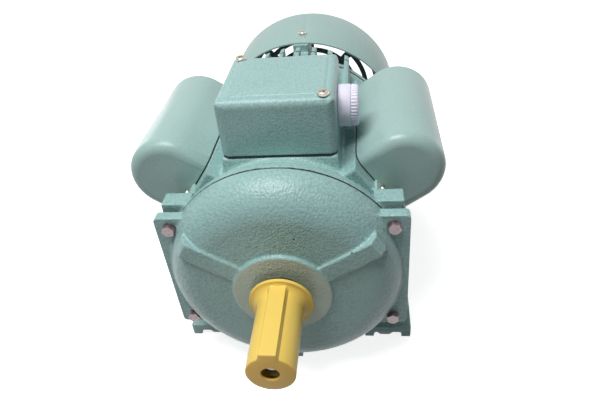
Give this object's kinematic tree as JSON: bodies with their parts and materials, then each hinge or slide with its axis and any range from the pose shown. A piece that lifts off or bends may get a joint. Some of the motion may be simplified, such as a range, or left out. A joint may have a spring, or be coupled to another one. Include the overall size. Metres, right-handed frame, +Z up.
{
  "type": "electric motor",
  "caption": "Foot-mounted single-phase induction motor with finned cast frame, domed shield, terminal box, capacitor covers, fan cowl and a sleeve over its keyed shaft",
  "frame": {"origin": "centre of the four foot holes, on the plane the feet stand on", "axes": "+Z up, +Y from the shaft end to the fan end, +X to the side with the cable gland"},
  "size_m": [0.2212, 0.3775, 0.2097],
  "materials": {
    "cast_green": "thick hammer-finish enamel on cast iron",
    "press_green": "smooth enamel on pressed steel",
    "zinc": "zinc plated",
    "steel": "ground steel",
    "core_steel": "stacked electrical sheet",
    "copper": "varnished copper",
    "cast_aluminium": "as cast",
    "black_rubber": "soft matt",
    "black_plastic": "moulded",
    "bakelite": "moulded",
    "brass": "turned",
    "white_plastic": "moulded nylon",
    "can": "filled can, light for its size",
    "yellow_plastic": "moulded polyethylene"
  },
  "bodies": {
    "stator": {"frame": "cast_green", "drive_end_shield": "cast_green", "rear_end_shield": "cast_green", "terminal_cover": "cast_green", "fan_cowl": "press_green", "left_capacitor_cover": "press_green", "right_capacitor_cover": "press_green", "drive_shield_bolts": "zinc", "drive_shield_washers": "zinc", "rear_shield_bolts": "zinc", "rear_shield_washers": "zinc", "cowl_screws": "zinc", "terminal_cover_screws": "zinc", "capacitor_cover_screws": "zinc", "capacitor_straps": "zinc", "preload_washer": "zinc", "drive_bearing_outer": "steel", "rear_bearing_outer": "steel", "stator_core": "core_steel", "stator_windings": "copper", "terminal_gasket": "black_rubber", "gland_seal": "black_rubber", "capacitor_gaskets": "black_rubber", "switch_board": "bakelite", "terminal_board": "bakelite", "terminal_studs": "brass", "gland_body": "white_plastic", "gland_cap": "white_plastic", "gland_locknut": "white_plastic", "left_capacitor": "can", "right_capacitor": "can"},
    "rotor": {"shaft": "steel", "shaft_key": "steel", "shaft_seal": "black_rubber", "rotor_core": "core_steel", "rotor_end_rings": "cast_aluminium", "governor_carrier": "steel", "governor_pins": "steel", "drive_bearing_inner": "steel", "rear_bearing_inner": "steel", "cooling_fan": "black_plastic", "fan_clip": "zinc"},
    "drive_balls": {"drive_bearing_balls": "steel"},
    "rear_balls": {"rear_bearing_balls": "steel"},
    "collar": {"governor_collar": "bakelite"},
    "left_weight": {"left_governor_weight": "steel"},
    "right_weight": {"right_governor_weight": "steel"},
    "contact_arm": {"switch_arm": "copper"},
    "protector": {"shaft_protector": "yellow_plastic"}
  },
  "joints": [
    {"name": "rotor_spin", "type": "hinge", "parent": "stator", "child": "rotor", "pos_m": [0, 0, 0.09], "axis": [0, 1, 0], "continuous": true},
    {"name": "drive_ball_spin", "type": "hinge", "parent": "stator", "child": "drive_balls", "pos_m": [0, 0, 0.09], "axis": [0, 1, 0], "continuous": true},
    {"name": "rear_ball_spin", "type": "hinge", "parent": "stator", "child": "rear_balls", "pos_m": [0, 0, 0.09], "axis": [0, 1, 0], "continuous": true},
    {"name": "collar_slide", "type": "slide", "parent": "rotor", "child": "collar", "axis": [0, -1, 0], "range_m": [0, 0.0024], "stiffness_N_per_m": 400},
    {"name": "left_weight_swing", "type": "hinge", "parent": "rotor", "child": "left_weight", "pos_m": [-0.03, 0.0823, 0.09], "axis": [0, 0, 1], "range_deg": [-19, 0]},
    {"name": "right_weight_swing", "type": "hinge", "parent": "rotor", "child": "right_weight", "pos_m": [0.03, 0.0823, 0.09], "axis": [0, 0, 1], "range_deg": [0, 19]},
    {"name": "contact_arm_swing", "type": "hinge", "parent": "stator", "child": "contact_arm", "pos_m": [-0.024, 0.0906, 0.111], "axis": [0, 0, 1], "range_deg": [-3.6, 0]},
    {"name": "protector_slide", "type": "slide", "parent": "rotor", "child": "protector", "axis": [0, -1, 0], "range_m": [0, 0.06]}
  ],
  "couplings": [
    {"joint": "drive_ball_spin", "follows": "rotor_spin", "ratio": 0.395},
    {"joint": "rear_ball_spin", "follows": "rotor_spin", "ratio": 0.395},
    {"joint": "left_weight_swing", "follows": "collar_slide", "rad_per_m": -136},
    {"joint": "right_weight_swing", "follows": "collar_slide", "rad_per_m": 136},
    {"joint": "contact_arm_swing", "follows": "collar_slide", "rad_per_m": -25}
  ]
}
